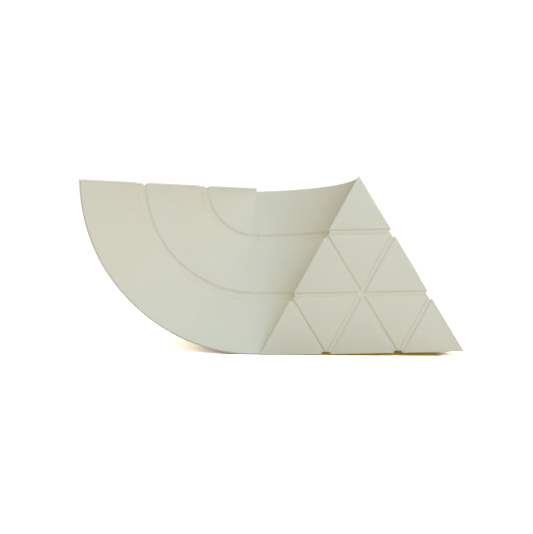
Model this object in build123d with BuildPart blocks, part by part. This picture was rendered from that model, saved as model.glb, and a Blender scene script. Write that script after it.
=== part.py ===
from build123d import *
import os
from math import cos, radians, sqrt

# A two-link twisting block. Its section is an equilateral triangle everywhere.
# The level elbow turns the section a quarter turn about the upright line through
# corner A. The rising elbow then carries it a quarter turn upwards, about the
# level line through its top corner C. A spring-loaded swivel joins the two.
# Thin tiles and strips lie on the shells, and the channels between them show.
#
# Millimetres, +Z up. The origin is the middle of the bounding box, at its foot.

# ---- the section and its surface pattern
side = 100.0            # side of the triangular section, over the strips
tile_gap = 3.25         # channel between two tiles, square across it, at the top
tile_thickness = 1.0    # how far tiles and strips stand above the shells
tile_slope = 1.0        # how much wider a tile's foot is, along each channel
corner_blunt = 0.9      # how far the long corners are cut back from a sharp edge
tiles_per_side = 3

# ---- shells and end plates
level_wall = 4.0        # the level elbow is the heavier one, so the block stands
rising_wall = 2.0
joint_wall = 4.0        # closed wall of each shell at the swivel
plate_thickness = 3.0
plug_depth = 3.0        # rim under each end plate that centres it in the shell
plug_wall = 2.0
plug_clearance = 0.2
peg_radius = 1.5        # locating peg under each end tile
peg_length = 1.5
peg_clearance = 0.1

# ---- the swivel
joint_gap = 0.15        # running gap between the two elbows
boss_radius = 9.0
boss_length = 8.0
bolt_radius = 3.0
bolt_clearance = 0.1
neck_side = 7.6         # square neck that keeps the bolt from turning
neck_length = 6.0
neck_clearance = 0.1
head_radius = 7.0
head_thickness = 3.0
head_rounding = 1.5
washer_radius = 7.5
washer_thickness = 1.2
thrust_clearance = 0.05
glide_inner_radius = 11.0
glide_outer_radius = 15.0
glide_recess = 1.0
glide_side_clearance = 0.1
glide_face_clearance = 0.03
glide_chamfer = 0.15
spring_count = 4
spring_radius = 6.3
spring_thickness = 0.7
spring_dish = 0.35
nut_across_flats = 10.0
nut_thickness = 6.0
nut_clearance = 0.02
bolt_end_past_nut = 1.5
bolt_end_chamfer = 0.6

quarter_turn = 90
full_turn = 360
root3 = sqrt(3)
height = side * root3 / 2
row_height = (height - tiles_per_side * tile_gap) / tiles_per_side
strip_width = row_height * 2 / root3
strip_pitch = strip_width + root3 * tile_gap

# Corner A of the section, where both curves start, seen from the origin.
corner_x = -(side - height - joint_gap) / 2
corner_y = -(side - tile_thickness) / 2
rising_x = corner_x - joint_gap
axis_y = corner_y + side / 2
axis_z = height / 3

# Each section plane has x along the base from A, and y up to corner C.
level_section = Plane(origin=(corner_x, corner_y, 0), x_dir=(1, 0, 0), z_dir=(0, -1, 0))
level_axis = Axis((corner_x, corner_y, 0), (0, 0, 1))
rising_section = Plane(origin=(rising_x, corner_y, 0), x_dir=(0, 1, 0), z_dir=(1, 0, 0))
rising_axis = Axis((rising_x, corner_y, height), (0, 1, 0))
rising_end = Plane(
    origin=(rising_x - height, corner_y + side, height), x_dir=(0, -1, 0), z_dir=(0, 0, 1)
)

# The swivel's planes look into the elbow that they belong to.
level_joint = Plane(origin=(corner_x, axis_y, axis_z), x_dir=(0, 1, 0), z_dir=(1, 0, 0))
rising_joint = Plane(origin=(rising_x, axis_y, axis_z), x_dir=(0, 1, 0), z_dir=(-1, 0, 0))

os.makedirs("parts", exist_ok=True)


def finish(builder, name):
    """Labels a finished piece and writes its file."""
    builder.part.label = name
    export_step(builder.part, f"parts/{name}.step")
    print(f"{name}: {builder.part.volume:.1f} mm3")


def section_corners(inset):
    """The three corners of the section, each side moved in by inset."""
    return [
        (inset * root3, inset),
        (side - inset * root3, inset),
        (side / 2, height - 2 * inset),
    ]


# ---- end tiles: a lattice of small triangles, each drawn in from its neighbours


def lattice_triangles():
    """Corners of each lattice triangle, with the sides that lie on the outline.

    The lattice is larger than the section by half a gap all round. A side is
    named by the corner opposite to it: 0, 1 or 2.
    """
    step_up = row_height + 1.5 * tile_gap
    step_along = step_up * 2 / root3
    start = (-root3 * tile_gap / 2, -tile_gap / 2)

    def node(column, row):
        along = start[0] + (column + row / 2) * step_along
        return along, start[1] + row * step_up

    found = []
    for row in range(tiles_per_side):
        last = tiles_per_side - row - 1
        for column in range(last + 1):
            corners = (node(column, row), node(column + 1, row), node(column, row + 1))
            outline = {2} if row == 0 else set()
            outline |= {1} if column == 0 else set()
            outline |= {0} if column == last else set()
            found.append((corners, outline))
        for column in range(last):
            corners = (
                node(column + 1, row + 1),
                node(column, row + 1),
                node(column + 1, row),
            )
            found.append((corners, set()))
    return found


def drawn_in(corners, insets):
    """A triangle's corners after each side moves in by its own amount."""
    tall = row_height + 1.5 * tile_gap
    moved = []
    for corner in range(3):
        weights = [insets[other] / tall for other in range(3)]
        weights[corner] = 1 - sum(weights[other] for other in range(3) if other != corner)
        moved.append(
            (
                sum(weight * point[0] for weight, point in zip(weights, corners)),
                sum(weight * point[1] for weight, point in zip(weights, corners)),
            )
        )
    return moved


def tile_middle(corners):
    """Middle of a lattice triangle, where its peg stands."""
    return sum(point[0] for point in corners) / 3, sum(point[1] for point in corners) / 3


def make_end_tiles(face, prefix):
    """Nine tiles on one end plate, numbered from the base row up."""
    for number, (corners, outline) in enumerate(lattice_triangles(), start=1):
        foot = [tile_gap / 2 - (0 if edge in outline else tile_slope) for edge in range(3)]
        top = [tile_gap / 2] * 3
        with BuildPart() as tile:
            with BuildSketch(face):
                Polygon(*drawn_in(corners, foot), align=None)
            with BuildSketch(face.offset(tile_thickness)):
                Polygon(*drawn_in(corners, top), align=None)
            loft(ruled=True)
            if not outline:
                # A tile that points down has its foot cut level with the plate's edge.
                with BuildSketch(face):
                    Polygon(*section_corners(tile_thickness), align=None)
                extrude(amount=tile_thickness, mode=Mode.INTERSECT)
            with BuildSketch(face):
                with Locations(tile_middle(corners)):
                    Circle(peg_radius)
            extrude(amount=-peg_length)
        finish(tile, f"{prefix}_end_tile_{number}")


# ---- strips: three on each long face, following the elbow's quarter turn


def strip_outline(face_number, strip_number):
    """Outline of one strip in the section, on the face that leaves a corner.

    Face 0 runs from A to B, face 1 from B to C, and face 2 from C to A.
    """
    corners = section_corners(0)
    start = Vector(*corners[face_number])
    end = Vector(*corners[(face_number + 1) % 3])
    along = (end - start).normalized()
    inward = Vector(-along.Y, along.X)

    def place(distance, depth):
        point = start + along * distance + inward * depth
        return point.X, point.Y

    near = strip_number * strip_pitch
    far = near + strip_width
    half_corner = radians(30)
    cut_along = corner_blunt / cos(half_corner)
    mitre_along = corner_blunt * cos(half_corner)
    mitre_depth = corner_blunt / 2
    shell_corner = tile_thickness * root3

    points = []
    if strip_number == 0:
        points += [
            place(shell_corner, tile_thickness),
            place(mitre_along, mitre_depth),
            place(cut_along, 0),
        ]
    else:
        points += [place(near - tile_slope, tile_thickness), place(near, 0)]
    if strip_number == tiles_per_side - 1:
        points += [
            place(side - cut_along, 0),
            place(side - mitre_along, mitre_depth),
            place(side - shell_corner, tile_thickness),
        ]
    else:
        points += [place(far, 0), place(far + tile_slope, tile_thickness)]
    return points


def make_strips(section, axis, prefix, face_names):
    """Nine strips on one elbow, three for each of its long faces."""
    for face_number, face_name in enumerate(face_names):
        for strip_number in range(tiles_per_side):
            with BuildPart() as strip:
                with BuildSketch(section):
                    Polygon(*strip_outline(face_number, strip_number), align=None)
                revolve(axis=axis, revolution_arc=quarter_turn)
            finish(strip, f"{prefix}_{face_name}_strip_{strip_number + 1}")


# ---- shells and end plates


def make_shell(section, axis, wall, joint, end_face, prefix):
    """One hollow elbow, closed at the swivel and open at its end plate."""
    seat = end_face.offset(-plate_thickness)
    with BuildPart() as cavity:
        with BuildSketch(section):
            Polygon(*section_corners(tile_thickness + wall), align=None)
        revolve(axis=axis, revolution_arc=quarter_turn)
        split(bisect_by=joint.offset(joint_wall), keep=Keep.TOP)
    with BuildPart() as shell:
        with BuildSketch(section):
            Polygon(*section_corners(tile_thickness), align=None)
        revolve(axis=axis, revolution_arc=quarter_turn)
        split(bisect_by=seat, keep=Keep.BOTTOM)
        add(cavity.part, mode=Mode.SUBTRACT)
        with BuildSketch(joint.offset(joint_wall)):
            Circle(boss_radius)
        extrude(amount=boss_length)
        with BuildSketch(joint):
            Circle(bolt_radius + bolt_clearance)
        extrude(amount=joint_wall + boss_length, mode=Mode.SUBTRACT)
        if prefix == "rising":
            # The bolt's square neck sits in the boss from the inside.
            with BuildSketch(joint.offset(joint_wall + boss_length - neck_length)):
                Rectangle(neck_side + 2 * neck_clearance, neck_side + 2 * neck_clearance)
            extrude(amount=neck_length, mode=Mode.SUBTRACT)
        else:
            with BuildSketch(joint):
                Circle(glide_outer_radius + glide_side_clearance)
                Circle(glide_inner_radius - glide_side_clearance, mode=Mode.SUBTRACT)
            extrude(amount=glide_recess, mode=Mode.SUBTRACT)
    finish(shell, f"{prefix}_shell")


def make_end_plate(section, axis, wall, end_face, prefix):
    """The plate that closes a shell and carries its nine end tiles."""
    seat = end_face.offset(-plate_thickness)
    rim_inset = tile_thickness + wall + plug_clearance
    with BuildPart() as plate:
        with BuildSketch(section):
            Polygon(*section_corners(tile_thickness), align=None)
        revolve(axis=axis, revolution_arc=quarter_turn)
        split(bisect_by=seat, keep=Keep.TOP)
        with BuildSketch(seat):
            Polygon(*section_corners(rim_inset + plug_clearance), align=None)
            Polygon(*section_corners(rim_inset + plug_wall), align=None, mode=Mode.SUBTRACT)
        extrude(amount=-plug_depth)
        with BuildSketch(end_face):
            with Locations(*[tile_middle(corners) for corners, _ in lattice_triangles()]):
                Circle(peg_radius + peg_clearance)
        extrude(amount=-(peg_length + peg_clearance), mode=Mode.SUBTRACT)
    finish(plate, f"{prefix}_end_plate")


make_shell(level_section, level_axis, level_wall, level_joint, level_section, "level")
make_shell(rising_section, rising_axis, rising_wall, rising_joint, rising_end, "rising")
make_end_plate(level_section, level_axis, level_wall, level_section, "level")
make_end_plate(rising_section, rising_axis, rising_wall, rising_end, "rising")
make_end_tiles(level_section, "level")
make_end_tiles(rising_end, "rising")
make_strips(level_section, level_axis, "level", ("base", "outer", "inner"))
make_strips(rising_section, rising_axis, "rising", ("back", "far", "near"))

# ---- swivel hardware, on the line through the middle of the joint's triangle

rising_seat = rising_joint.offset(joint_wall + boss_length)
level_seat = level_joint.offset(joint_wall + boss_length)

with BuildPart() as glide_ring:
    with BuildSketch(level_joint.offset(glide_recess)):
        Circle(glide_outer_radius)
        Circle(glide_inner_radius, mode=Mode.SUBTRACT)
    extrude(amount=-(glide_recess + joint_gap - glide_face_clearance))
    chamfer(glide_ring.edges().filter_by(GeomType.CIRCLE), length=glide_chamfer)
finish(glide_ring, "glide_ring")

with BuildPart() as thrust_washer:
    with BuildSketch(level_seat.offset(thrust_clearance)):
        Circle(washer_radius)
        Circle(bolt_radius + bolt_clearance, mode=Mode.SUBTRACT)
    extrude(amount=washer_thickness)
finish(thrust_washer, "thrust_washer")

# Dished springs in a stack, each the other way up from the one before it.
stack_start = thrust_clearance + washer_thickness
spring_pitch = spring_thickness + spring_dish
spring_inner = bolt_radius + bolt_clearance
swivel_line = Axis((corner_x, axis_y, axis_z), (1, 0, 0))
swivel_section = Plane(origin=(corner_x, axis_y, axis_z), x_dir=(1, 0, 0), z_dir=(0, -1, 0))
for number in range(spring_count):
    inner_lift = spring_dish if number % 2 else 0
    outer_lift = spring_dish - inner_lift
    foot = joint_wall + boss_length + stack_start + number * spring_pitch
    with BuildPart() as disc_spring:
        with BuildSketch(swivel_section):
            Polygon(
                (foot + inner_lift, spring_inner),
                (foot + inner_lift + spring_thickness, spring_inner),
                (foot + outer_lift + spring_thickness, spring_radius),
                (foot + outer_lift, spring_radius),
                align=None,
            )
        revolve(axis=swivel_line, revolution_arc=full_turn)
    finish(disc_spring, f"disc_spring_{number + 1}")

nut_start = stack_start + spring_count * spring_pitch
nut_seat = level_seat.offset(nut_start)
with BuildPart() as lock_nut:
    with BuildSketch(nut_seat):
        RegularPolygon(radius=nut_across_flats / 2, side_count=6, major_radius=False)
        Circle(bolt_radius + nut_clearance, mode=Mode.SUBTRACT)
    extrude(amount=nut_thickness)
finish(lock_nut, "lock_nut")

bolt_length = 2 * (joint_wall + boss_length) + joint_gap + nut_start + nut_thickness
with BuildPart() as swivel_bolt:
    with BuildSketch(rising_seat):
        Circle(bolt_radius)
    extrude(amount=-(bolt_length + bolt_end_past_nut))
    bolt_end = swivel_bolt.edges().filter_by(GeomType.CIRCLE).sort_by(Axis.X)[-1]
    chamfer(bolt_end, length=bolt_end_chamfer)
    with BuildSketch(rising_seat):
        Rectangle(neck_side, neck_side)
    extrude(amount=-(neck_length - neck_clearance))
    with BuildSketch(rising_seat):
        Circle(head_radius)
    extrude(amount=head_thickness)
    head_rim = swivel_bolt.edges().filter_by(GeomType.CIRCLE).sort_by(Axis.X)[0]
    fillet(head_rim, radius=head_rounding)
finish(swivel_bolt, "swivel_bolt")
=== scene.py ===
# %% [markdown]
# # A twisting block of ivory plastic
#
# The object is two hollow elbows of triangular section, joined by a swivel that
# nobody sees. Thin tiles and strips lie on the elbows, and the channels between
# them are its only decoration. The CAD model gives every size. This script
# dresses it: each tile and strip is modelled again with softened edges, and all
# of it gets a matte, slightly waxy plastic with very fine level lines.

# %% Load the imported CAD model
import math

import bpy
from mathutils import Matrix, Vector


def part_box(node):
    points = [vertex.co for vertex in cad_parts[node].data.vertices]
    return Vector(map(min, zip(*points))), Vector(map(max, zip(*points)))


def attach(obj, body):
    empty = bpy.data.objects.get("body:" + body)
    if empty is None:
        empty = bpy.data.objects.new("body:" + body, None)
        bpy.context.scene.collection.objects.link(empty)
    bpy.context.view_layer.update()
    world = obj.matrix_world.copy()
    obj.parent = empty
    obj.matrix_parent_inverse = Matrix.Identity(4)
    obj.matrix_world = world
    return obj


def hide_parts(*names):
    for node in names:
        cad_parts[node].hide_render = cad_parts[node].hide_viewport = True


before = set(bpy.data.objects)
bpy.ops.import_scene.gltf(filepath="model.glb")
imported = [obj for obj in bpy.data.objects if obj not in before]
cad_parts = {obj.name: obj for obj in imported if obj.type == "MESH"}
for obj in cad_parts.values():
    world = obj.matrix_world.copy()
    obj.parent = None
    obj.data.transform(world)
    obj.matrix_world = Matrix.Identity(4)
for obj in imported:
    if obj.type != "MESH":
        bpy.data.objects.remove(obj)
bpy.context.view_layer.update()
bpy.ops.object.select_all(action="DESELECT")

# %% [markdown]
# ## Sizes
#
# Nothing here is typed in twice. The side of the triangle, the thickness of the
# tiles and the slope of their walls are all read from the boxes of CAD pieces.
# Corner A is the foot of the upright line that the level elbow turns about, and
# it is where every outline below starts.

# %% Read the driving sizes from the frame
MM = 0.001
WELD = 0.001 * MM
ROOT3 = math.sqrt(3)
TILES_PER_SIDE = 3
QUARTER_TURN = math.pi / 2


def low(node):
    """Lowest corner of a CAD piece."""
    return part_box(node)[0]


def high(node):
    """Highest corner of a CAD piece."""
    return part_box(node)[1]


def tall(node):
    """Upright size of a CAD piece."""
    return high(node).z - low(node).z


side = high("level_end_tile_3").x - low("level_end_tile_1").x
height = side * ROOT3 / 2
corner_x = low("level_shell").x
corner_y = low("level_end_plate").y
rising_x = high("rising_shell").x
swivel_gap = corner_x - rising_x
tile_thickness = low("level_end_plate").y - low("level_end_tile_1").y
peg_length = high("level_end_tile_1").y - low("level_end_plate").y
print(f"side {side / MM:.2f} mm, tiles {tile_thickness / MM:.2f} mm thick")
print(f"swivel gap {swivel_gap / MM:.2f} mm")

# %% [markdown]
# A tile's wall slopes, so its foot is larger than its top. A corner tile slopes
# on one side only, and the tile next to it on two, so their feet differ by
# exactly one slope. Three rows of tiles and their channels fill the height of
# the section, and the channels get what the tiles leave.

# %% Work out the tile pattern
foot_of_corner_tile = tall("level_end_tile_1")
foot_of_edge_tile = tall("level_end_tile_2")
tile_slope = foot_of_edge_tile - foot_of_corner_tile
row_height = foot_of_corner_tile - tile_slope
tile_gap = height / TILES_PER_SIDE - row_height
tile_width = row_height * 2 / ROOT3
strip_pitch = tile_width + ROOT3 * tile_gap
corner_blunt = low("level_outer_strip_1").z * 2
print(f"row {row_height / MM:.3f}, slope {tile_slope / MM:.3f}, gap {tile_gap / MM:.3f} mm")
print(f"long corners blunted by {corner_blunt / MM:.2f} mm, pegs {peg_length / MM:.2f} mm")

# %% [markdown]
# ## Camera
#
# The block is seen almost straight on, from a little over three of its sides
# away and from its own middle height. The block rests on the curve of its
# rising elbow and rocks back by about a degree. It cannot be turned here, because
# it shares its frame with the other models, so the camera is rolled by that
# degree instead, and the table will lean to meet the curve.

# %% Place the camera
CAMERA_ROLL = math.radians(1.046)
CAMERA_DIP = math.radians(0.04)
CAMERA_DISTANCE = 3.1415
CAMERA_HEIGHT = 0.4324
CAMERA_ASIDE = 0.0422
FIELD_IN_DISTANCES = 0.83
SENSOR = 36.0
NEAR_CLIP = 0.01


def make_camera():
    """A camera that looks along +Y, dips a hair and is rolled by the block's rock."""
    place = (
        corner_x + CAMERA_ASIDE * side,
        corner_y - CAMERA_DISTANCE * side,
        CAMERA_HEIGHT * side,
    )
    bpy.ops.object.camera_add(
        location=place, rotation=(QUARTER_TURN - CAMERA_DIP, CAMERA_ROLL, 0)
    )
    made = bpy.context.object
    made.name = "camera"
    made.data.sensor_width = SENSOR
    made.data.lens = SENSOR / FIELD_IN_DISTANCES
    made.data.clip_start = NEAR_CLIP
    bpy.context.scene.camera = made
    return made


camera = make_camera()
print(f"{camera.data.lens:.1f} mm lens, at", [round(v, 3) for v in camera.location])

# %% [markdown]
# ## The plastic
#
# Moulded or printed ivory plastic is matte and a little translucent. Three
# effects make it look real. More than one material needs the first two, so each
# of those is a node group that gives out only numbers.
#
# The first is the fine level lines that a layer-by-layer process leaves: very
# shallow ridges a quarter of a millimetre apart, and broad, faint bands where
# the flow of plastic wandered.

# %% Helpers for node trees
def new_group(name, inputs, outputs):
    """An empty shader node group with named number sockets."""
    group = bpy.data.node_groups.new(name, "ShaderNodeTree")
    for label, default in inputs.items():
        socket = group.interface.new_socket(label, in_out="INPUT", socket_type="NodeSocketFloat")
        socket.default_value = default
    for label in outputs:
        group.interface.new_socket(label, in_out="OUTPUT", socket_type="NodeSocketFloat")
    entry = group.nodes.new("NodeGroupInput")
    leave = group.nodes.new("NodeGroupOutput")
    return group, entry, leave


def math_node(nodes, operation, **values):
    """A Math node with its plain numbers set by socket position."""
    node = nodes.new("ShaderNodeMath")
    node.operation = operation
    for key, value in values.items():
        node.inputs[int(key[1:])].default_value = value
    return node


def colour_mix(nodes, a=None, b=None):
    """A colour Mix node, with plain colours in its two sockets where they are given."""
    node = nodes.new("ShaderNodeMix")
    node.data_type = "RGBA"
    for socket, colour in (("A", a), ("B", b)):
        if colour:
            node.inputs[socket].default_value = (*colour, 1)
    return node


def value_range(nodes, lowest, highest):
    """A Map Range node that turns 0 to 1 into lowest to highest."""
    node = nodes.new("ShaderNodeMapRange")
    node.inputs["To Min"].default_value = lowest
    node.inputs["To Max"].default_value = highest
    return node


# %% Node group: level lines
def make_level_lines():
    """Fine ridges and faint broad bands, stacked along the block's upright axis."""
    group, entry, leave = new_group(
        "level_lines", {"Line Period": 0.25 * MM, "Band Period": 2.2 * MM}, ("Ridge", "Band")
    )
    nodes, links = group.nodes, group.links
    place = nodes.new("ShaderNodeTexCoord")
    apart = nodes.new("ShaderNodeSeparateXYZ")
    links.new(place.outputs["Object"], apart.inputs[0])

    turns = math_node(nodes, "DIVIDE")
    links.new(apart.outputs["Z"], turns.inputs[0])
    links.new(entry.outputs["Line Period"], turns.inputs[1])
    angle = math_node(nodes, "MULTIPLY", _1=2 * math.pi)
    links.new(turns.outputs[0], angle.inputs[0])
    wave = math_node(nodes, "COSINE")
    links.new(angle.outputs[0], wave.inputs[0])
    ridge = math_node(nodes, "MULTIPLY_ADD", _1=0.5, _2=0.5)
    links.new(wave.outputs[0], ridge.inputs[0])
    links.new(ridge.outputs[0], leave.inputs["Ridge"])

    level = math_node(nodes, "DIVIDE")
    links.new(apart.outputs["Z"], level.inputs[0])
    links.new(entry.outputs["Band Period"], level.inputs[1])
    bands = nodes.new("ShaderNodeTexNoise")
    bands.noise_dimensions = "1D"
    bands.inputs["Scale"].default_value = 1.0
    bands.inputs["Detail"].default_value = 3.0
    bands.inputs["Roughness"].default_value = 0.6
    links.new(level.outputs[0], bands.inputs["W"])
    links.new(bands.outputs["Fac"], leave.inputs["Band"])
    return group


level_lines = make_level_lines()
print("group", level_lines.name, [item.name for item in level_lines.interface.items_tree])

# %% [markdown]
# The second effect is mottling: cloudy patches a couple of centimetres wide,
# where the plastic is a touch warmer, and a fine grain that keeps the surface
# from looking like glass.

# %% Node group: mottling
def make_mottling():
    """Soft cloudy patches and a fine grain, fixed to the block."""
    group, entry, leave = new_group(
        "mottling", {"Cloud Size": 22 * MM, "Grain Size": 0.5 * MM}, ("Cloud", "Grain")
    )
    nodes, links = group.nodes, group.links
    place = nodes.new("ShaderNodeTexCoord")
    for label, source, detail in (("Cloud", "Cloud Size", 2.0), ("Grain", "Grain Size", 3.0)):
        scale = math_node(nodes, "DIVIDE", _0=1.0)
        links.new(entry.outputs[source], scale.inputs[1])
        noise = nodes.new("ShaderNodeTexNoise")
        noise.inputs["Detail"].default_value = detail
        noise.inputs["Roughness"].default_value = 0.5
        links.new(place.outputs["Object"], noise.inputs["Vector"])
        links.new(scale.outputs[0], noise.inputs["Scale"])
        links.new(noise.outputs["Fac"], leave.inputs[label])
    return group


mottling = make_mottling()
print("group", mottling.name, [item.name for item in mottling.interface.items_tree])

# %% [markdown]
# The third is the warmth of the channels, which is painted light and shade.
# Light that enters the thin edge of a tile comes out amber, and the sloping walls
# lie in shade, so they look darker and more yellow than the faces. The tiles and
# strips carry a face attribute, `wall`, which is 1 on a sloping wall and 0
# elsewhere. Their plastic mixes a painted amber shade in there, and gives off a
# faint painted glow, for what has seeped through the thin edge.

# %% Build the plastic materials
WALL = "wall"
# SEEPING_LIGHT is the painted glow of the channel walls.
SEEPING_LIGHT = (0.030, 0.020, 0.007)
PLASTIC_IOR = 1.46
PLASTIC_GLOSS = 0.35
GLOW_REACH = (1.0, 0.62, 0.32)
GLOW_DEPTH = 3.0 * MM
BAND_NOISE = (0.3, 0.7)
BAND_SHADES = (0.991, 1.005)
GRAIN_IN_ROUGHNESS = (-0.06, 0.08)
GRAIN_IN_RELIEF = 0.35
RELIEF_STRENGTH = 0.6


def make_plastic(name, face, cloud, line_depth, roughness, glow, wall=None, wall_shade_share=0):
    """Matte plastic: face colour, cloud tint, painted amber shade and glow on the walls, level lines
    and grain.
    """
    material = bpy.data.materials.new(name)
    material.use_nodes = True
    nodes, links = material.node_tree.nodes, material.node_tree.links
    shader = nodes["Principled BSDF"]
    shader.inputs["IOR"].default_value = PLASTIC_IOR
    shader.inputs["Specular IOR Level"].default_value = PLASTIC_GLOSS
    shader.inputs["Subsurface Weight"].default_value = glow
    shader.inputs["Subsurface Radius"].default_value = GLOW_REACH
    shader.inputs["Subsurface Scale"].default_value = GLOW_DEPTH

    lines = nodes.new("ShaderNodeGroup")
    lines.node_tree = level_lines
    clouds = nodes.new("ShaderNodeGroup")
    clouds.node_tree = mottling

    tint = colour_mix(nodes, face, cloud)
    links.new(clouds.outputs["Cloud"], tint.inputs["Factor"])
    shade = value_range(nodes, *BAND_SHADES)
    shade.inputs["From Min"].default_value = BAND_NOISE[0]
    shade.inputs["From Max"].default_value = BAND_NOISE[1]
    links.new(lines.outputs["Band"], shade.inputs["Value"])
    banded = colour_mix(nodes)
    banded.blend_type = "MULTIPLY"
    banded.inputs["Factor"].default_value = 1.0
    links.new(tint.outputs["Result"], banded.inputs["A"])
    links.new(shade.outputs["Result"], banded.inputs["B"])

    # The wall mask brings in the painted amber shade and the painted glow.
    if wall_shade_share:
        mask = nodes.new("ShaderNodeAttribute")
        mask.attribute_name = WALL
        wall_shade_amount = math_node(nodes, "MULTIPLY", _1=wall_shade_share)
        links.new(mask.outputs["Fac"], wall_shade_amount.inputs[0])
        colour = colour_mix(nodes, b=wall)
        links.new(wall_shade_amount.outputs[0], colour.inputs["Factor"])
        links.new(banded.outputs["Result"], colour.inputs["A"])
        links.new(colour.outputs["Result"], shader.inputs["Base Color"])
        painted_glow = colour_mix(nodes, (0, 0, 0), SEEPING_LIGHT)
        links.new(mask.outputs["Fac"], painted_glow.inputs["Factor"])
        links.new(painted_glow.outputs["Result"], shader.inputs["Emission Color"])
        shader.inputs["Emission Strength"].default_value = 1.0
    else:
        links.new(banded.outputs["Result"], shader.inputs["Base Color"])

    polish = value_range(nodes, *(roughness + change for change in GRAIN_IN_ROUGHNESS))
    links.new(clouds.outputs["Grain"], polish.inputs["Value"])
    links.new(polish.outputs["Result"], shader.inputs["Roughness"])

    relief = math_node(nodes, "MULTIPLY_ADD", _1=GRAIN_IN_RELIEF)
    links.new(clouds.outputs["Grain"], relief.inputs[0])
    links.new(lines.outputs["Ridge"], relief.inputs[2])
    bump = nodes.new("ShaderNodeBump")
    bump.inputs["Strength"].default_value = RELIEF_STRENGTH
    bump.inputs["Distance"].default_value = line_depth
    links.new(relief.outputs[0], bump.inputs["Height"])
    links.new(bump.outputs["Normal"], shader.inputs["Normal"])
    return material


tile_plastic = make_plastic(
    "tile_plastic",
    face=(0.735, 0.700, 0.555),
    cloud=(0.720, 0.672, 0.505),
    # painted amber shade for the channel walls
    wall=(0.76, 0.66, 0.48),
    wall_shade_share=0.50,
    line_depth=0.012 * MM,
    roughness=0.50,
    glow=0.25,
)
shell_plastic = make_plastic(
    "shell_plastic",
    face=(0.750, 0.715, 0.565),
    cloud=(0.735, 0.690, 0.520),
    line_depth=0.012 * MM,
    roughness=0.55,
    glow=0.25,
)
glide_nylon = make_plastic(
    "glide_nylon",
    face=(0.78, 0.78, 0.75),
    cloud=(0.74, 0.73, 0.69),
    line_depth=0.004 * MM,
    roughness=0.38,
    glow=0.15,
)
print("plastics", [m.name for m in (tile_plastic, shell_plastic, glide_nylon)])

# %% [markdown]
# ## The steel of the swivel
#
# The bolt, its washer, its disc springs and its nut are turned or stamped and
# then zinc plated. Turning leaves rings about the swivel line, which runs along
# X, so the scratches are a wave of the distance from that line. Blender's wave
# texture repeats every 0.314 units at scale 1, which gives the scale for a real
# period. The same cloudy group dulls the plating in patches.

# %% Build the plated steel
swivel_y = corner_y + side / 2
swivel_z = height / 3
RING_PERIOD = 0.3 * MM
WAVE_PERIOD = 0.314
RING_WANDER = 0.8
RING_DEPTH = 0.004 * MM
BRIGHT_ZINC = (0.64, 0.65, 0.66)
DULL_ZINC = (0.50, 0.50, 0.47)
ZINC_ROUGHNESS = (0.26, 0.46)


def make_zinc_plate():
    """Zinc plate over turned steel, with rings about the swivel line."""
    material = bpy.data.materials.new("zinc_plate")
    material.use_nodes = True
    nodes, links = material.node_tree.nodes, material.node_tree.links
    shader = nodes["Principled BSDF"]
    shader.inputs["Metallic"].default_value = 1.0

    place = nodes.new("ShaderNodeTexCoord")
    centred = nodes.new("ShaderNodeMapping")
    centred.inputs["Location"].default_value = (0, -swivel_y, -swivel_z)
    links.new(place.outputs["Object"], centred.inputs["Vector"])
    rings = nodes.new("ShaderNodeTexWave")
    rings.wave_type = "RINGS"
    rings.rings_direction = "X"
    rings.inputs["Scale"].default_value = WAVE_PERIOD / RING_PERIOD
    rings.inputs["Distortion"].default_value = RING_WANDER
    rings.inputs["Detail"].default_value = 2.0
    links.new(centred.outputs["Vector"], rings.inputs["Vector"])

    clouds = nodes.new("ShaderNodeGroup")
    clouds.node_tree = mottling
    clouds.inputs["Cloud Size"].default_value = 6 * MM
    clouds.inputs["Grain Size"].default_value = 0.3 * MM
    plate = colour_mix(nodes, BRIGHT_ZINC, DULL_ZINC)
    links.new(clouds.outputs["Cloud"], plate.inputs["Factor"])
    links.new(plate.outputs["Result"], shader.inputs["Base Color"])
    dull = value_range(nodes, *ZINC_ROUGHNESS)
    links.new(clouds.outputs["Grain"], dull.inputs["Value"])
    links.new(dull.outputs["Result"], shader.inputs["Roughness"])

    bump = nodes.new("ShaderNodeBump")
    bump.inputs["Strength"].default_value = 0.5
    bump.inputs["Distance"].default_value = RING_DEPTH
    links.new(rings.outputs["Fac"], bump.inputs["Height"])
    links.new(bump.outputs["Normal"], shader.inputs["Normal"])
    return material


zinc_plate = make_zinc_plate()
print("metal", zinc_plate.name)

# %% [markdown]
# ## End tiles
#
# Each flat end carries nine small triangular tiles, pressed into its plate by a
# peg. A three-sided cylinder is already the right prism, so a tile starts as
# one. Its foot is then spread, about the side or the corner that lies on the
# outline, so that only the walls beside a channel slope. The top edges get a
# fine bevel, because a sharp plastic edge never catches the light like a real
# one.

# %% Helpers for shaping in edit mode
EDGE_BEVEL = 0.22 * MM
SMOOTH_ANGLE = math.radians(35)


def select_only(piece):
    """Selects one object and makes it active."""
    bpy.ops.object.select_all(action="DESELECT")
    piece.select_set(True)
    bpy.context.view_layer.objects.active = piece


def pick(piece, kind, wanted):
    """In edit mode, selects the vertices, edges or faces that wanted says yes to."""
    bpy.ops.mesh.select_all(action="DESELECT")
    bpy.ops.mesh.select_mode(type={"vertices": "VERT", "edges": "EDGE", "polygons": "FACE"}[kind])
    bpy.ops.object.mode_set(mode="OBJECT")
    for element in getattr(piece.data, kind):
        element.select = bool(wanted(element))
    bpy.ops.object.mode_set(mode="EDIT")


def settle(piece, placement=None):
    """Puts a piece in its place, with that place in its mesh."""
    if placement:
        piece.matrix_world = placement
    select_only(piece)
    bpy.ops.object.transform_apply(location=True, rotation=True, scale=True)


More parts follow.
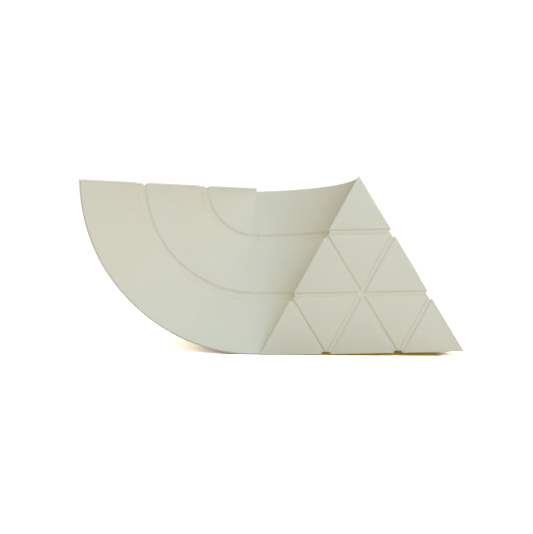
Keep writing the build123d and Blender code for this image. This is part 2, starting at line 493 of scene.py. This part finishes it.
def close_and_smooth(piece):
    """Makes the faces point outwards and smooths the ones that nearly line up."""
    select_only(piece)
    bpy.ops.object.mode_set(mode="EDIT")
    bpy.ops.mesh.select_all(action="SELECT")
    bpy.ops.mesh.remove_doubles(threshold=WELD)
    bpy.ops.mesh.normals_make_consistent(inside=False)
    bpy.ops.object.mode_set(mode="OBJECT")
    bpy.ops.object.shade_smooth_by_angle(angle=SMOOTH_ANGLE)


# %% [markdown]
# The lattice of tiles is a little larger than the section, by half a channel all
# round. A tile that points up shares one or two of its sides with the outline,
# and the one that points down shares none.

# %% Where each end tile lies
def tile_places():
    """Number, middle, direction and outline sides of each tile, from the base row up.

    A side is named by the corner opposite to it: 0 left, 1 right, 2 top.
    """
    step_up = row_height + 1.5 * tile_gap
    step_along = step_up * 2 / ROOT3
    start_x = -ROOT3 * tile_gap / 2
    start_y = -tile_gap / 2
    places = []
    for row in range(TILES_PER_SIDE):
        last = TILES_PER_SIDE - row - 1
        foot_y = start_y + row * step_up
        for column in range(last + 1):
            along = start_x + (column + row / 2 + 0.5) * step_along
            outline = [2] if row == 0 else []
            outline += [1] if column == 0 else []
            outline += [0] if column == last else []
            places.append((Vector((along, foot_y + step_up / 3, 0)), "up", outline))
        for column in range(last):
            along = start_x + (column + row / 2 + 1) * step_along
            places.append((Vector((along, foot_y + step_up * 2 / 3, 0)), "down", []))
    return places


tiles = tile_places()
print(len(tiles), "tiles on an end,", sum(way == "up" for _, way, _ in tiles), "point up")

# %% [markdown]
# The tile that points down has slopes all round, and its foot would poke out of
# the plate where a channel runs off the end. Three bisect cuts, level with the
# plate's own edges, take that off.

# %% Model one end tile
PEG_SIDES = 24
peg_points = [
    v.co
    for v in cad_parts["level_end_tile_8"].data.vertices
    if v.co.y > corner_y + peg_length / 2
]
peg_radius = (max(p.x for p in peg_points) - min(p.x for p in peg_points)) / 2
print(f"peg radius {peg_radius / MM:.2f} mm")


def outline_cuts(inset):
    """A point and an outward direction for each side of the section, moved in by inset."""
    return [
        (Vector((0, inset, 0)), Vector((0, -1, 0))),
        (Vector((inset * 2 / ROOT3, 0, 0)), Vector((-ROOT3 / 2, 0.5, 0))),
        (Vector((side - inset * 2 / ROOT3, 0, 0)), Vector((ROOT3 / 2, 0.5, 0))),
    ]


def spread_foot(middle, way, outline):
    """Centre and scale that widen a tile's foot by one slope beside each channel."""
    radius = row_height * 2 / 3
    corners = [
        middle + radius * Vector((-ROOT3 / 2, -0.5, 0)),
        middle + radius * Vector((ROOT3 / 2, -0.5, 0)),
        middle + radius * Vector((0, 1, 0)),
    ]
    if way == "down" or not outline:
        return middle, 1 + 3 * tile_slope / row_height
    if len(outline) == 1:
        ends = [corners[i] for i in range(3) if i != outline[0]]
        return (ends[0] + ends[1]) / 2, 1 + 2 * tile_slope / row_height
    shared = next(i for i in range(3) if i not in outline)
    return corners[shared], 1 + tile_slope / row_height


def model_tile(name, middle, way, outline):
    """A bevelled triangular tile with sloping walls, on the face plane z = 0."""
    bpy.ops.object.select_all(action="DESELECT")
    bpy.ops.mesh.primitive_cylinder_add(
        vertices=3,
        radius=row_height * 2 / 3,
        depth=tile_thickness,
        location=middle + Vector((0, 0, tile_thickness / 2)),
        rotation=(0, 0, 0 if way == "up" else math.pi),
    )
    tile = bpy.context.object
    tile.name = name
    settle(tile)

    bpy.ops.object.mode_set(mode="EDIT")
    centre, scale = spread_foot(middle, way, outline)
    pick(tile, "vertices", lambda v: v.co.z < tile_thickness / 2)
    bpy.ops.transform.resize(value=(scale, scale, 1), center_override=centre)
    if way == "down":
        for point, outward in outline_cuts(tile_thickness):
            bpy.ops.mesh.select_all(action="SELECT")
            bpy.ops.mesh.bisect(
                plane_co=point, plane_no=outward, use_fill=True, clear_outer=True
            )
    pick(
        tile,
        "edges",
        lambda e: max(tile.data.vertices[i].co.z for i in e.vertices) > tile_thickness / 2,
    )
    bpy.ops.mesh.bevel(offset=EDGE_BEVEL, segments=2, affect="EDGES")
    bpy.ops.object.mode_set(mode="OBJECT")
    return tile


# %% [markdown]
# The peg is a small round post on the tile's foot. It is joined with a boolean,
# so that the tile stays one closed solid like the moulded piece.
#
# The walls that slope towards a channel are then marked for the painted amber shade
# and glow, and the tile moves from the flat drawing to its end of the block.

# %% Put the tiles on both ends
def add_peg(tile, middle):
    """A locating peg under a tile, made one with it."""
    overlap = tile_thickness / 2
    bpy.ops.object.select_all(action="DESELECT")
    bpy.ops.mesh.primitive_cylinder_add(
        vertices=PEG_SIDES,
        radius=peg_radius,
        depth=peg_length + overlap,
        location=middle + Vector((0, 0, (overlap - peg_length) / 2)),
    )
    peg = bpy.context.object
    select_only(tile)
    union = tile.modifiers.new("peg", "BOOLEAN")
    union.operation = "UNION"
    union.solver = "EXACT"
    union.object = peg
    bpy.ops.object.modifier_apply(modifier=union.name)
    bpy.data.objects.remove(peg)


def mark_walls(piece, is_wall):
    """Writes the wall attribute, 1 on the faces that is_wall says yes to."""
    mark = piece.data.attributes.new(WALL, "FLOAT", "FACE")
    mark.data.foreach_set("value", [float(is_wall(face)) for face in piece.data.polygons])


def dress(piece, node, body, material):
    """Gives a piece its material and its body, and hides the CAD piece that it stands for."""
    piece.data.materials.clear()
    piece.data.materials.append(material)
    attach(piece, body)
    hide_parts(node)


WALL_LEAN = (0.2, 0.9)
BELOW_BEVEL = 0.7
level_face = Matrix(((1, 0, 0, corner_x), (0, 0, -1, corner_y), (0, 1, 0, 0), (0, 0, 0, 1)))
rising_face = Matrix(
    ((0, 1, 0, rising_x - height), (-1, 0, 0, corner_y + side), (0, 0, 1, height), (0, 0, 0, 1))
)


def leans(normal):
    """True for a wall that slopes: neither upright nor level."""
    return WALL_LEAN[0] < normal.z < WALL_LEAN[1]


def make_end_tiles(prefix, body, placement):
    """Nine finished tiles on one end."""
    for number, (middle, way, outline) in enumerate(tiles, start=1):
        name = f"{prefix}_end_tile_{number}"
        tile = model_tile(f"{name}_plastic", middle, way, outline)
        add_peg(tile, middle)
        mark_walls(
            tile,
            lambda face: leans(face.normal) and face.center.z < BELOW_BEVEL * tile_thickness,
        )
        settle(tile, placement)
        close_and_smooth(tile)
        dress(tile, name, body, tile_plastic)
    print(prefix, "end: 9 tiles,", len(tile.data.polygons), "faces on the last one")


make_end_tiles("level", "level_elbow", level_face)
make_end_tiles("rising", "rising_elbow", rising_face)

# %% [markdown]
# ## Strips
#
# A strip is one small outline carried round a quarter circle, which is exactly
# what the spin tool does. The outline starts as a plane, one strip wide and one
# tile thick. Its foot is spread beside each channel. Where the strip ends at a
# long corner, one cut gives the mitre against the next face's strip and another
# blunts the sharp edge. The corners beside a channel are bevelled while the
# outline is still flat, so the spin carries that bevel round and the cut ends
# stay crisp against the swivel, where the two elbows have to meet without a
# visible seam.

# %% Draw one strip's outline
NEAR = 0.01 * MM


def model_outline(name, number):
    """A strip's flat outline: x along the face from its start corner, y into the block."""
    first = number == 0
    last = number == TILES_PER_SIDE - 1
    near = number * strip_pitch
    far = side if last else near + tile_width
    bpy.ops.object.select_all(action="DESELECT")
    bpy.ops.mesh.primitive_plane_add(size=1, location=((near + far) / 2, tile_thickness / 2, 0))
    strip = bpy.context.object
    strip.name = name
    strip.scale = (far - near, tile_thickness, 1)
    settle(strip)

    bpy.ops.object.mode_set(mode="EDIT")
    slopes = (not first) + (not last)
    fixed = near if first else far if last else (near + far) / 2
    pick(strip, "vertices", lambda v: v.co.y > tile_thickness / 2)
    bpy.ops.transform.resize(
        value=(1 + slopes * tile_slope / (far - near), 1, 1), center_override=(fixed, 0, 0)
    )
    for at_end, corner, sign in ((first, 0, 1), (last, side, -1)):
        if at_end:
            for point, outward in (
                (0, Vector((-0.5 * sign, ROOT3 / 2, 0))),
                (corner_blunt * 2 / ROOT3, Vector((-ROOT3 / 2 * sign, -0.5, 0))),
            ):
                bpy.ops.mesh.select_all(action="SELECT")
                bpy.ops.mesh.bisect(
                    plane_co=(corner + sign * point, 0, 0), plane_no=outward, clear_outer=True
                )
    channel_sides = [x for x, at_end in ((near, first), (far, last)) if not at_end]
    pick(
        strip,
        "vertices",
        lambda v: v.co.y < NEAR and min(abs(v.co.x - x) for x in channel_sides) < NEAR,
    )
    bpy.ops.mesh.bevel(offset=EDGE_BEVEL, segments=2, affect="VERTICES")
    bpy.ops.object.mode_set(mode="OBJECT")
    return strip


# %% [markdown]
# The level elbow turns about the upright line through corner A, and the rising
# elbow about the level line through corner C, as high as the section. Blender's
# spin turns clockwise as seen along its axis, so the quarter turn is negative.
# Long curves need enough steps that their outline never looks like a polygon.
#
# The running gap between the two elbows is closed to a hair's breadth at the
# outer skin: each level strip's swivel end moves out by just under the gap.

# %% Spin the strips round both elbows
SPIN_STEPS = 48
section_corners = [Vector((0, 0)), Vector((side, 0)), Vector((side / 2, height))]
section_origin = {
    "level": Vector((corner_x, corner_y, 0)),
    "rising": Vector((rising_x, corner_y, 0)),
}
section_across = {"level": Vector((1, 0, 0)), "rising": Vector((0, 1, 0))}
SEAM = 0.005 * MM
across_the_gap = (SEAM - swivel_gap, 0, 0)
turn_line = {
    "level": (section_origin["level"], Vector((0, 0, 1))),
    "rising": (section_origin["rising"] + Vector((0, 0, height)), Vector((0, 1, 0))),
}


def face_placement(prefix, face_number):
    """Matrix that puts a flat outline on one long face of the section."""
    start = section_corners[face_number]
    along = (section_corners[(face_number + 1) % 3] - start) / side
    across = section_across[prefix]
    up = Vector((0, 0, 1))
    x_way = across * along.x + up * along.y
    y_way = up * along.x - across * along.y
    placed = Matrix.Identity(4)
    for column, way in enumerate((x_way, y_way, x_way.cross(y_way))):
        placed.col[column] = (*way, 0)
    placed.translation = section_origin[prefix] + across * start.x + up * start.y
    return placed


def distance_along(prefix, face_number, point):
    """How far a point lies along its face, once the quarter turn is undone."""
    origin, axis = turn_line[prefix]
    away = point - origin
    radius = (away - axis * away.dot(axis)).length
    if prefix == "level":
        flat = Vector((radius, point.z))
    else:
        flat = Vector((point.y - corner_y, height - radius))
    start = section_corners[face_number]
    along = (section_corners[(face_number + 1) % 3] - start) / side
    return (flat - start).dot(along)


def make_strips(prefix, body, face_names):
    """Nine finished strips on one elbow."""
    origin, axis = turn_line[prefix]
    for face_number, face_name in enumerate(face_names):
        for number in range(TILES_PER_SIDE):
            name = f"{prefix}_{face_name}_strip_{number + 1}"
            strip = model_outline(f"{name}_plastic", number)
            settle(strip, face_placement(prefix, face_number))
            bpy.ops.object.mode_set(mode="EDIT")
            bpy.ops.mesh.select_all(action="SELECT")
            bpy.ops.mesh.spin(steps=SPIN_STEPS, angle=-QUARTER_TURN, center=origin, axis=axis)
            if prefix == "level":
                pick(strip, "vertices", lambda v: abs(v.co.x - corner_x) < WELD)
                bpy.ops.transform.translate(value=across_the_gap)
            bpy.ops.object.mode_set(mode="OBJECT")
            close_and_smooth(strip)
            near = number * strip_pitch
            far = near + tile_width

            def beside_channel(face):
                at = distance_along(prefix, face_number, face.center)
                left_wall = number > 0 and at < near
                right_wall = number < TILES_PER_SIDE - 1 and at > far
                return left_wall or right_wall

            mark_walls(strip, beside_channel)
            dress(strip, name, body, tile_plastic)
    print(prefix, "elbow: 9 strips,", len(strip.data.polygons), "faces on the last one")


make_strips("level", "level_elbow", ("base", "outer", "inner"))
make_strips("rising", "rising_elbow", ("back", "far", "near"))

# %% [markdown]
# ## The level shell
#
# The shells show only as the floor of the channels, and their CAD meshes are
# already right but for one thing. At the swivel their rims stop short of each
# other, as the strips' ends did, and the gap would show as a dark tick across
# every channel. So a copy of the level shell has its outer rim brought up to the
# rising one. The face around the bolt stays where it is, clear of the glide ring.

# %% Bring the level shell's rim up to the rising shell
RIM_FROM_SWIVEL = 0.25 * side
swivel_middle = Vector((swivel_y, swivel_z))
shell = bpy.data.objects.new("level_shell_plastic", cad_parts["level_shell"].data.copy())
bpy.context.scene.collection.objects.link(shell)
select_only(shell)
bpy.ops.object.mode_set(mode="EDIT")
bpy.ops.mesh.select_all(action="SELECT")
bpy.ops.mesh.remove_doubles(threshold=WELD)


def on_rim(vertex):
    """True for the outline of the shell's face at the swivel."""
    on_plane = abs(vertex.co.x - corner_x) < WELD
    return on_plane and (vertex.co.yz - swivel_middle).length > RIM_FROM_SWIVEL


pick(shell, "vertices", on_rim)
bpy.ops.transform.translate(value=across_the_gap)
bpy.ops.object.mode_set(mode="OBJECT")
bpy.ops.object.shade_smooth_by_angle(angle=SMOOTH_ANGLE)
dress(shell, "level_shell", "level_elbow", shell_plastic)
print("level shell's rim at x =", round(min(v.co.x for v in shell.data.vertices) / MM, 3), "mm")

# %% [markdown]
# ## The pieces that keep their CAD shape
#
# The rising shell and the end plates show only between the tiles and strips, and
# the swivel hardware is shut inside. Their CAD meshes are already right, so they
# keep them and only get better materials.

# %% Give the CAD pieces their finishes
HARDWARE = ("swivel_bolt", "thrust_washer", "lock_nut", "disc_spring")
finishes = {
    "rising_shell": shell_plastic,
    "level_end_plate": shell_plastic,
    "rising_end_plate": shell_plastic,
    "glide_ring": glide_nylon,
}
for node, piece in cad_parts.items():
    if node.startswith(HARDWARE):
        finishes[node] = zinc_plate
    if node in finishes:
        piece.data.materials.clear()
        piece.data.materials.append(finishes[node])
print(len(finishes), "CAD pieces keep their shape")

# %% [markdown]
# ## Table, light and backdrop
#
# The table is white and overexposed, so that it melts into the backdrop and only
# the closest shadow shows. Overexposure is a matter of the camera, so only camera
# rays see the very bright table, and the block is lit by an ordinary white one.
#
# The block is rocked back on its curve, so the table touches it just beyond the
# swivel and leaves a dark wedge under the flat side. The table leans a little
# more than the camera is rolled, which gives the wedge its thickness. The light
# in there has passed through the plastic and comes out orange. Tracing that would
# be slow and noisy, so it is painted: under the level elbow a mask on the table's
# own coordinates turns the bright table amber.

# %% Lay the table under the rocked block
TABLE_SIZE = 8.0
TABLE_LEAN = math.radians(1.35)
TABLE_WHITE = (0.84, 0.80, 0.74, 1)
BRIGHT_TABLE = (4.6, 4.4, 5.0)
PAINTED_AMBER_SHADE = (1.5, 1.2, 0.4)
PAINTED_AMBER_GLOW = (0.17, 0.09, 0.01, 1)
UNDER_REACH = 0.9
UNDER_MARGIN = 0.3 * MM


def camera_sees(nodes, links, other, seen, output):
    """Shows one shader to the camera's own rays and another to all the rest."""
    path = nodes.new("ShaderNodeLightPath")
    choice = nodes.new("ShaderNodeMixShader")
    links.new(path.outputs["Is Camera Ray"], choice.inputs["Fac"])
    links.new(other.outputs[0], choice.inputs[1])
    links.new(seen.outputs[0], choice.inputs[2])
    links.new(choice.outputs[0], output.inputs["Surface"])


def mask_under_elbow(nodes, links, centre):
    """1 on the quarter disc of table that the level elbow hides, where amber shade and glow are
    painted, 0 elsewhere.
    """
    place = nodes.new("ShaderNodeTexCoord")
    offset = nodes.new("ShaderNodeVectorMath")
    offset.operation = "SUBTRACT"
    offset.inputs[1].default_value = centre
    links.new(place.outputs["Object"], offset.inputs[0])
    reach = nodes.new("ShaderNodeVectorMath")
    reach.operation = "LENGTH"
    links.new(offset.outputs["Vector"], reach.inputs[0])
    under = math_node(nodes, "LESS_THAN", _1=UNDER_REACH * side)
    links.new(reach.outputs["Value"], under.inputs[0])
    axes = nodes.new("ShaderNodeSeparateXYZ")
    links.new(offset.outputs["Vector"], axes.inputs[0])
    for axis in ("Y", "X"):
        beyond = math_node(nodes, "GREATER_THAN", _1=UNDER_MARGIN)
        links.new(axes.outputs[axis], beyond.inputs[0])
        both = math_node(nodes, "MULTIPLY")
        links.new(under.outputs[0], both.inputs[0])
        links.new(beyond.outputs[0], both.inputs[1])
        under = both
    return under.outputs[0]


def make_table():
    """A white table that leans to be tangent to the rising elbow's curve."""
    touch_x = rising_x - height * math.sin(TABLE_LEAN)
    touch_z = height * (1 - math.cos(TABLE_LEAN))
    bpy.ops.object.select_all(action="DESELECT")
    bpy.ops.mesh.primitive_plane_add(
        size=TABLE_SIZE, location=(touch_x, 0, touch_z), rotation=(0, TABLE_LEAN, 0)
    )
    table = bpy.context.object
    table.name = "table"
    material = bpy.data.materials.new("white_table")
    material.use_nodes = True
    nodes, links = material.node_tree.nodes, material.node_tree.links
    nodes.remove(nodes["Principled BSDF"])
    bounce = nodes.new("ShaderNodeBsdfDiffuse")
    bounce.inputs["Color"].default_value = TABLE_WHITE

    # Painted amber shade and painted glow on the table under the level elbow.
    under = mask_under_elbow(nodes, links, (corner_x - touch_x, corner_y, 0))
    gain = colour_mix(nodes, BRIGHT_TABLE, PAINTED_AMBER_SHADE)
    links.new(under, gain.inputs["Factor"])
    overexposed = nodes.new("ShaderNodeBsdfDiffuse")
    links.new(gain.outputs["Result"], overexposed.inputs["Color"])
    glow = nodes.new("ShaderNodeEmission")
    glow.inputs["Color"].default_value = PAINTED_AMBER_GLOW
    links.new(under, glow.inputs["Strength"])
    bright = nodes.new("ShaderNodeAddShader")
    links.new(overexposed.outputs[0], bright.inputs[0])
    links.new(glow.outputs[0], bright.inputs[1])
    camera_sees(nodes, links, bounce, bright, nodes["Material Output"])
    table.data.materials.append(material)
    return table


table = make_table()
print("table touches at x =", round(table.location.x / MM, 2), "mm")

# %% [markdown]
# The light is a pale room, a little warm, and four softboxes. A large cool one
# stands above the camera, a little to its right, so the inner curve beside the
# flat end falls into shade soon after it starts to turn. The one behind and above
# keeps the upper faces bright, the warm one at the right reddens the outer curve,
# and a faint one at the left lifts the back.

# %% Light the block
ROOM_COLOUR = (1.0, 0.89, 0.74, 1)
ROOM_STRENGTH = 0.38
BACKDROP_STRENGTH = 1.05
SOFTBOX_DISTANCE = 1.2


def make_room():
    """A pale warm room that the camera sees as plain white."""
    world = bpy.data.worlds.new("pale_room")
    bpy.context.scene.world = world
    world.use_nodes = True
    nodes, links = world.node_tree.nodes, world.node_tree.links
    room = nodes["Background"]
    room.inputs["Color"].default_value = ROOM_COLOUR
    room.inputs["Strength"].default_value = ROOM_STRENGTH
    backdrop = nodes.new("ShaderNodeBackground")
    backdrop.inputs["Color"].default_value = (1, 1, 1, 1)
    backdrop.inputs["Strength"].default_value = BACKDROP_STRENGTH
    camera_sees(nodes, links, room, backdrop, nodes["World Output"])


def make_softbox(name, way, size, power, colour):
    """A square area light that looks at the middle of the block from one direction."""
    aim = Vector((0, 0, height / 2))
    place = aim + Vector(way).normalized() * SOFTBOX_DISTANCE
    bpy.ops.object.light_add(type="AREA", location=place)
    lamp = bpy.context.object
    lamp.name = name
    lamp.rotation_euler = (aim - place).to_track_quat("-Z", "Y").to_euler()
    lamp.data.shape = "SQUARE"
    lamp.data.size = size
    lamp.data.energy = power
    lamp.data.color = colour
    return lamp


make_room()
for softbox in (
    dict(name="front_softbox", way=(0.20, -0.82, 0.53), size=0.8, power=9.1, colour=(0.61, 0.76, 1.0)),
    dict(name="back_softbox", way=(0.35, 0.35, 0.87), size=0.6, power=5.6, colour=(0.63, 0.90, 1.0)),
    dict(name="right_softbox", way=(0.82, 0.22, 0.53), size=0.6, power=3.0, colour=(1.0, 0.42, 0.12)),
    dict(name="left_softbox", way=(-0.70, 0.30, 0.60), size=0.6, power=1.0, colour=(1.0, 0.90, 0.75)),
):
    make_softbox(**softbox)
bpy.context.scene.view_settings.view_transform = "Standard"
